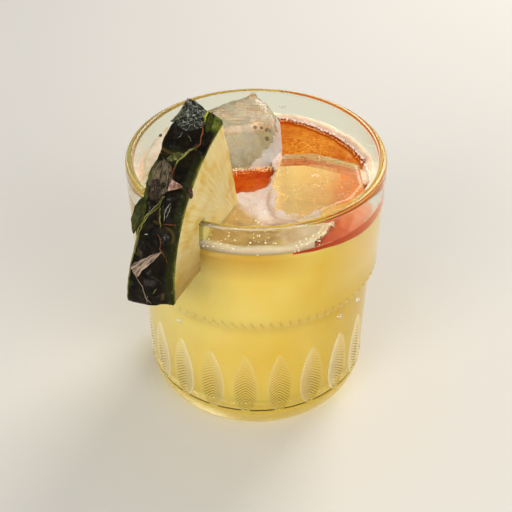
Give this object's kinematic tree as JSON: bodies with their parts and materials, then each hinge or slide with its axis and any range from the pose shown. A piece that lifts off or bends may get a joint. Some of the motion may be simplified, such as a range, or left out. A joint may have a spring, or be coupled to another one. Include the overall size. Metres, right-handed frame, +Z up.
{
  "type": "iced cocktail in a fluted tumbler",
  "caption": "Short fluted glass tumbler of cloudy yellow iced cocktail with foam, ice blocks, an orange slice and a pineapple wedge on its rim.",
  "frame": {"origin": "centre of the tumbler's flat underside", "axes": "+Z up along the tumbler's axis; the pictured side faces -Y and +X is to its right"},
  "size_m": [0.086, 0.0991, 0.1227],
  "materials": {
    "glass": "clear pressed glass, polished",
    "drink": "cloudy yellow liquid",
    "foam": "fine wet foam",
    "ice": "wet clear ice",
    "orange": "wet orange flesh and peel",
    "pineapple": "moist pale flesh with a dark waxy rind"
  },
  "bodies": {
    "root": {"glass": "glass", "drink": "drink", "foam": "foam", "ice_back": "ice", "ice_right": "ice", "ice_left": "ice", "orange_slice": "orange", "pineapple_wedge": "pineapple"}
  },
  "joints": []
}
